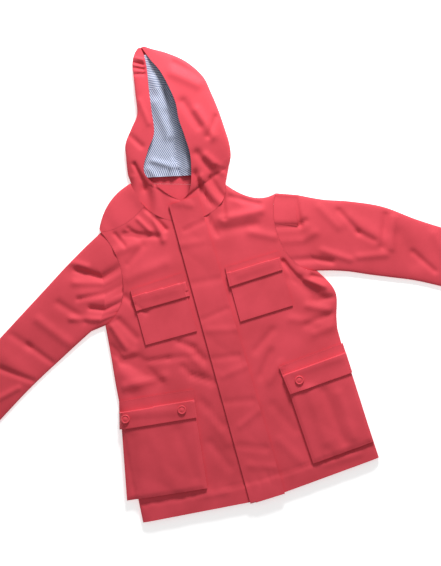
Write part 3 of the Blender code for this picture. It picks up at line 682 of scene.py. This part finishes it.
def hood_point(row, stretch, t, depth, bows):
    """A point of a hood section, at a depth below its outer side.

    The right and left stretches run from a free rim to a fold, the under stretch from fold to fold.
    """
    fold_right, fold_left = row[2:4], row[4:6]
    inset = depth / math.dist(fold_right, fold_left)
    edge_right, edge_left = mix(fold_right, fold_left, inset), mix(fold_left, fold_right, inset)
    if stretch == "under":
        x, y = mix(edge_right, edge_left, t)
        lifted = fold_height(x, y, LINING_CREASES) if depth > CLOTH else 0.0
        return x, y, depth + (max(lifted + 2.6, 0.0) if depth > CLOTH else 0.0)
    rim, edge, high = (row[0:2], edge_right, row[8]) if stretch == "right" else (row[6:8], edge_left, row[9])
    fold_high = min(high / 2, HOOD_FOLD_HEIGHT)
    x, y = mix(rim, edge, t)
    bow_x, bow_y = along(bows[stretch], t)
    if t == 1.0:
        return x, y, max(fold_high, depth + SEAM / 2)
    swell = (1 - t ** 3) ** (1 / 3)
    relief = fold_height(x, y, HOOD_CREASES) * min(1.0, high / 12)
    return x + bow_x, y + bow_y, max(fold_high + (high - fold_high + relief) * swell - depth, depth + SEAM)


def make_hood_piece(name, path, rows, bows, depth, thickness, material):
    """A wall along part of the hood's sections; its path runs from the right rim towards the left one."""
    straight = {"right": [(0, 0), (0, 0)], "left": [(0, 0), (0, 0)]}
    outer, inner = [], []
    for k, row in enumerate(rows):
        share = max(1.0 - k / HOOD_BASE_STEPS, 0.0) ** 2 if bows else 0.0
        row_bows = straight
        if share:
            row_bows = {key: [(bx * share, by * share) for bx, by in bow] for key, bow in bows.items()}
        outer.append([hood_point(row, stretch, t, depth, row_bows) for stretch, t in path])
        inner.append([hood_point(row, stretch, t, depth + thickness, row_bows) for stretch, t in path])
    return cloth_wall(name, facing_up(outer, -1), facing_up(inner, -1), material)


def make_hood(neck_right, neck_left, shell, lining):
    """Two shell panels, meeting in a seam on the underside, and the striped lining inside them."""
    right, left = moved_off(neck_right, -SEAM), moved_off(neck_left, SEAM)
    rows = hood_rows(right, left)
    bows = {"right": bow_of(right), "left": bow_of(left)}
    right_path = [("right", t) for t in HOOD_RIM_TO_FOLD_RIGHT]
    right_path += [("under", t) for t in HOOD_UNDER if t <= HOOD_SPLIT]
    left_path = [("under", HOOD_SPLIT + CROWN_SEAM_SHARE)]
    left_path += [("under", t) for t in HOOD_UNDER if t > HOOD_SPLIT]
    left_path += [("left", t) for t in reversed(HOOD_RIM_TO_FOLD_LEFT)]
    hood_right = make_hood_piece("hood_right", right_path, rows, bows, 0.0, CLOTH, shell)
    hood_left = make_hood_piece("hood_left", left_path, rows, bows, 0.0, CLOTH, shell)
    lining_path = [("right", t) for t in HOOD_RIM_TO_FOLD_RIGHT[1:]]
    lining_path += [("under", t) for t in HOOD_UNDER]
    lining_path += [("left", t) for t in reversed(HOOD_RIM_TO_FOLD_LEFT[1:])]
    lined_rows = [row for row in rows[LINING_FROM:] if min(row[8:10]) > 2 * (CLOTH + LINING) + 3 * SEAM]
    hood_lining = make_hood_piece("hood_lining", lining_path, lined_rows, None, CLOTH + SEAM, LINING, lining)
    return hood_right, hood_left, hood_lining


DEEPEST_RELIEF = -1.0   # how far a crease of a laid piece may sink
RELIEF_LIFT = 0.6       # further gap below a laid piece, to leave room for its creases


def lay_sheet(name, plan, ground, reach, thickness, material, sign=1):
    """A flat piece laid on the cloth below it, one seam gap above its highest point."""
    inner = [[(x, y, ground.at(x, y, reach, FLOOR_LAYER) + SEAM
               + max(fold_height(x, y, RELIEF_CREASES), DEEPEST_RELIEF) + RELIEF_LIFT)
              for x, y in row] for row in plan]
    outer = [[(x, y, z + thickness) for x, y, z in row] for row in inner]
    return cloth_wall(name, facing_up(outer, sign), facing_up(inner, sign), material)


def make_placket(ground, material):
    plan = []
    for k in range(PLACKET_STEPS + 1):
        t = k / PLACKET_STEPS
        y = HEM_CENTRE - 1.0 + (PLACKET_TOP - HEM_CENTRE + 1.0) * t
        width = PLACKET_HEM_WIDTH + (PLACKET_TOP_WIDTH - PLACKET_HEM_WIDTH) * t
        plan.append([(PLACKET_LEFT + width * u, y + 2.0 * u) for u in FINE])
    return lay_sheet("placket", plan, ground, LAY_REACH, CLOTH, material)


def four_corner_plan(corners, shares_across, shares_down):
    """Plan rows from the hem end up to the hood end; each corner is (x, y), named in Patch order."""
    rows = []
    for v in reversed(shares_down):
        inner = mix(corners.top_inner, corners.hem_inner, v)
        outer = mix(corners.top_outer, corners.hem_outer, v)
        rows.append([mix(inner, outer, u) for u in shares_across])
    return rows


def make_patch(name, corners, ground, sign, material):
    plan = four_corner_plan(corners, FINE, FINE)
    return lay_sheet(name, plan, ground, LAY_REACH, PATCH, material, sign)


def make_flap(name, corners, ground, sign, material):
    plan = four_corner_plan(corners, FINE, FINE)
    return lay_sheet(name, plan, ground, LAY_REACH, PATCH, material, sign)


def make_bellows(name, corners, ground, sign, material):
    """A cargo pocket: a face held off the panel by side and bottom walls, open at its mouth."""
    width = math.dist(corners.top_inner, corners.top_outer)
    depth = math.dist(corners.top_inner, corners.hem_inner)

    def soft(u, v):
        """The face sinks a little towards its walls and rounds over them."""
        edge = min(u, 1 - u, 1 - v) * width
        return -1.8 * math.exp(-(edge / 3.0) ** 2) + 1.2 * math.sin(math.pi * u) * math.sin(math.pi * v / 1.3)

    def face(inset, drop):
        across = [0.0] + [k / 50 for k in range(51)] + [1.0]
        down = [k / 50 for k in range(51)] + [1.0]
        rows = []
        for j, v in reversed(list(enumerate(down))):
            row = []
            for i, u in enumerate(across):
                u_in = inset / width + u * (1 - 2 * inset / width)
                v_in = v * (1 - inset / depth)
                inner = mix(corners.top_inner, corners.hem_inner, v_in)
                outer = mix(corners.top_outer, corners.hem_outer, v_in)
                x, y = mix(inner, outer, u_in)
                low = ground.at(x, y, LAY_REACH, FLOOR_LAYER)
                on_border = i in (0, len(across) - 1) or j == len(down) - 1
                raised = low + BELLOWS - drop + soft(u, v) + fold_height(x, y, RELIEF_CREASES)
                row.append((x, y, low + SEAM if on_border else raised))
            rows.append(row)
        return rows

    outer, inner = face(0.0, 0.0), face(PATCH, PATCH)
    return cloth_wall(name, facing_up(outer, sign), facing_up(inner, sign), material)

# ---------------------------------------------------------------- the jacket's looks

shell = fabric("coral_coated_cotton", "C63C48", "D84553", 0.55, 0.72)
thread = fabric("coral_thread", "C53845", "CC3E4B", 0.3, 0.7)
snap_enamel = fabric("coral_snap_enamel", "D8434F", "DC4753", 3.0, 0.38)
striped = striped_cloth("striped_lining")

armhole_left = curve_points(ARMHOLE_LEFT, ARM_STEPS)
armhole_right = curve_points(ARMHOLE_RIGHT, ARM_STEPS)
neck_left = curve_points(NECK_LEFT, NECK_STEPS)
neck_right = curve_points(NECK_RIGHT, NECK_STEPS + YOKE_NECK_STEPS)
yoke_fold = curve_points(YOKE_FOLD_RIGHT, 24)
plan_left = front_plan(SIDE_LEFT, armhole_left, neck_left, SHOULDER_SAG_LEFT, 1)
plan_right = front_plan(SIDE_RIGHT, armhole_right, neck_right[:NECK_STEPS + 1], SHOULDER_SAG_RIGHT, -1)
folds_left = [[row[:2] for row in side_rows(SIDE_LEFT)], plan_left[-1][::6]]
folds_right = [[row[:2] for row in side_rows(SIDE_RIGHT)], yoke_fold[::3]]

# Body: the two fronts and the turned-forward yoke, over the plain back panel.
front_right = make_front("front_right_panel", plan_right, folds_right, -1, shell)
front_left = make_front("front_left_panel", plan_left, folds_left, 1, shell)
yoke = make_yoke(plan_right, neck_right, yoke_fold, folds_right, shell)
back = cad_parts["back_panel"]
back.data.materials.clear()
back.data.materials.append(shell)

# Sleeves and hood.
sleeves = [make_sleeve("sleeve_right", armhole_right, SLEEVE_LINE_RIGHT, SLEEVE_RIGHT, -1, shell),
           make_sleeve("sleeve_left", armhole_left, SLEEVE_LINE_LEFT, SLEEVE_LEFT, 1, shell)]
hood_right, hood_left, hood_lining = make_hood(neck_right, neck_left, shell, striped)

# The lining's stripes: across the hood above its seam, along it at the right, slanting at the left.
uv = hood_lining.data.uv_layers.new(name="stripes")
places = np.empty(len(hood_lining.data.vertices) * 3, dtype=np.float32)
hood_lining.data.vertices.foreach_get("co", places)
places = places.reshape(-1, 3) / MM
corners = np.empty(len(hood_lining.data.loops), dtype=np.int32)
hood_lining.data.loops.foreach_get("vertex_index", corners)
faces_of = np.repeat(np.arange(len(hood_lining.data.polygons)), 4)
middles = places[corners].reshape(-1, 4, 3).mean(axis=1)[faces_of]
spot = places[corners]
STRIPE = 3.0           # one blue and one white stripe
across = spot[:, 1] + 0.15 * spot[:, 0]
upright = spot[:, 0] + 0.30 * spot[:, 1]
slanting = 0.72 * spot[:, 0] + 0.70 * spot[:, 1]
valley = 2.0 + (middles[:, 1] - 322.0) * 0.2
chosen = np.where(middles[:, 1] > 455, across, np.where(middles[:, 0] < valley, upright, slanting))
chosen = np.where((middles[:, 1] < 322) & (middles[:, 0] < 4), 0.8 * spot[:, 0] - 0.55 * spot[:, 1], chosen)
uv.data.foreach_set("uv", np.stack([chosen / STRIPE, spot[:, 2] / STRIPE], axis=1).astype(np.float32).ravel())

# Placket, pockets, flaps and snaps, each on the cloth below it.
fronts = Ground([front_right, front_left])
placket = make_placket(Ground([front_right, front_left, hood_right, hood_left]), shell)
laid = {"placket": placket}
for side, sign in (("right", -1), ("left", 1)):
    chest = make_patch(f"chest_pocket_{side}", CHEST_POCKET[side], fronts, sign, shell)
    cargo = make_bellows(f"cargo_pocket_{side}", CARGO_POCKET[side], fronts, sign, shell)
    laid[f"chest_pocket_{side}"] = chest
    laid[f"cargo_pocket_{side}"] = cargo
    laid[f"chest_flap_{side}"] = make_flap(f"chest_flap_{side}", CHEST_FLAP[side],
                                           Ground([front_right, front_left, chest]), sign, shell)
    laid[f"cargo_flap_{side}"] = make_flap(f"cargo_flap_{side}", CARGO_FLAP[side],
                                           Ground([front_right, front_left, cargo]), sign, shell)

for piece in (front_right, front_left, yoke, *sleeves, hood_right, hood_left, *laid.values()):
    declare(piece)
declare(hood_lining)

# Snap caps: a low dome with a raised rim, turned about its own axis.
SNAP_PROFILE = [(0.0, 1.9), (3.6, 1.8), (4.4, 1.3), (5.0, 1.3),
                (5.8, 2.3), (6.9, 2.2), (7.5, 1.3), (7.5, 0.0)]
for side in ("right", "left"):
    flap = Ground([laid[f"cargo_flap_{side}"]])
    for number, (x, y) in enumerate(SNAPS[side], 1):
        base = flap.at(x, y, 5.0)
        rings = [[(x + r * math.cos(a * math.pi / 16), y + r * math.sin(a * math.pi / 16), base + h)
                  for a in range(32)] for r, h in SNAP_PROFILE]
        mesh = bpy.data.meshes.new(f"snap_{side}_{number}")
        flat = [Vector(p) * MM for ring in rings for p in ring]
        faces = [(j * 32 + i, j * 32 + 32 + i, j * 32 + 32 + (i + 1) % 32, j * 32 + (i + 1) % 32)
                 for j in range(len(rings) - 1) for i in range(32)]
        mesh.from_pydata(flat, [], faces)
        mesh.materials.append(snap_enamel)
        mesh.shade_smooth()
        cap = bpy.data.objects.new(f"look_snap_{side}_{number}", mesh)
        bpy.context.scene.collection.objects.link(cap)
        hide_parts(f"snap_{side}_{number}")
        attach(cap, "root")

# Topstitching: hem, placket, flaps and pockets, cuffs, armholes and neck.
shown = Ground([front_right, front_left, yoke, *sleeves, hood_right, hood_left, *laid.values()])
def inside(patch, inset):
    """A patch's outline drawn in by an inset, closed."""
    a, b, c, d = patch.top_inner, patch.top_outer, patch.hem_outer, patch.hem_inner
    middle = (sum(p[0] for p in (a, b, c, d)) / 4, sum(p[1] for p in (a, b, c, d)) / 4)
    points = [mix(p, middle, inset / math.dist(p, middle) * 1.4) for p in (a, b, c, d)]
    return points + points[:1]


def cuff_run(line):
    """Across a sleeve, a little above its cuff."""
    start, tip = Vector(line[0]), Vector(line[1])
    axis = (tip - start).normalized()
    off = Vector((-axis.y, axis.x))
    middle = tip - axis * 24
    return [tuple(middle + off * 45), tuple(middle - off * 45)]


right_edge = [(PLACKET_LEFT + PLACKET_HEM_WIDTH - 3 + (PLACKET_TOP_WIDTH - PLACKET_HEM_WIDTH) * k / 20,
               HEM_CENTRE + (PLACKET_TOP - HEM_CENTRE) * k / 20) for k in range(21)]
runs = [[(-204, -210), (-30, -226)], [(34, -226), (194, -209)],
        right_edge, [(x - 4, y) for x, y in right_edge],
        [(-24, 212), (20, 216)], cuff_run(SLEEVE_LINE_RIGHT), cuff_run(SLEEVE_LINE_LEFT)]
runs += [inside(table[side], 2.5) for table in (CHEST_FLAP, CHEST_POCKET, CARGO_FLAP) for side in table]
runs += [moved_off(armhole_left, 2.0)[::4], moved_off(armhole_right, -2.0)[::4]]
stitches("topstitching", runs, shown, thread)

# Floor, light and camera.
def plane(name, size, height, colour):
    mesh = bpy.data.meshes.new(name)
    corners = [(x * size, y * size, height) for x, y in ((-1, -1), (1, -1), (1, 1), (-1, 1))]
    mesh.from_pydata(corners, [], [(0, 1, 2, 3)])
    material = bpy.data.materials.new(name)
    material.use_nodes = True
    material.node_tree.nodes["Principled BSDF"].inputs["Base Color"].default_value = srgb(colour)
    material.node_tree.nodes["Principled BSDF"].inputs["Roughness"].default_value = 0.9
    material.node_tree.nodes["Principled BSDF"].inputs["Emission Color"].default_value = (1.0, 1.0, 1.0, 1.0)
    material.node_tree.nodes["Principled BSDF"].inputs["Emission Strength"].default_value = 0.45
    mesh.materials.append(material)
    thing = bpy.data.objects.new(name, mesh)
    bpy.context.scene.collection.objects.link(thing)
    return thing


plane("pale_floor", 6.0, -0.0004, "FFFFFF")


def area_light(name, place, target, power, size):
    data = bpy.data.lights.new(name, "AREA")
    data.energy, data.size = power, size
    lamp = bpy.data.objects.new(name, data)
    lamp.location = place
    lamp.rotation_euler = (Vector(target) - Vector(place)).to_track_quat("-Z", "Y").to_euler()
    bpy.context.scene.collection.objects.link(lamp)


area_light("window", (0.55, 1.40, 0.75), (0.0, 0.1, 0.0), 34.0, 0.4)
area_light("ceiling", (0.2, 0.2, 2.4), (0.0, 0.1, 0.0), 4.0, 2.0)
world = bpy.data.worlds.new("soft_room")
world.use_nodes = True
world.node_tree.nodes["Background"].inputs["Color"].default_value = (1.0, 1.0, 1.0, 1.0)
world.node_tree.nodes["Background"].inputs["Strength"].default_value = 0.36
bpy.context.scene.world = world
bpy.context.scene.view_settings.view_transform = "Standard"

TILT = math.radians(15.3)      # how far the jacket is turned in the view
VIEW_HEIGHT = 0.951
camera_data = bpy.data.cameras.new("camera")
camera_data.sensor_fit = "VERTICAL"
camera_data.sensor_height = 24.0
CAMERA_HEIGHT = 2.4
camera_data.lens = 24.0 * CAMERA_HEIGHT / VIEW_HEIGHT
camera = bpy.data.objects.new("camera", camera_data)
camera.location = (0.021, 0.111, CAMERA_HEIGHT)
camera.rotation_euler = (0.0, 0.0, -TILT)
bpy.context.scene.collection.objects.link(camera)
bpy.context.scene.camera = camera
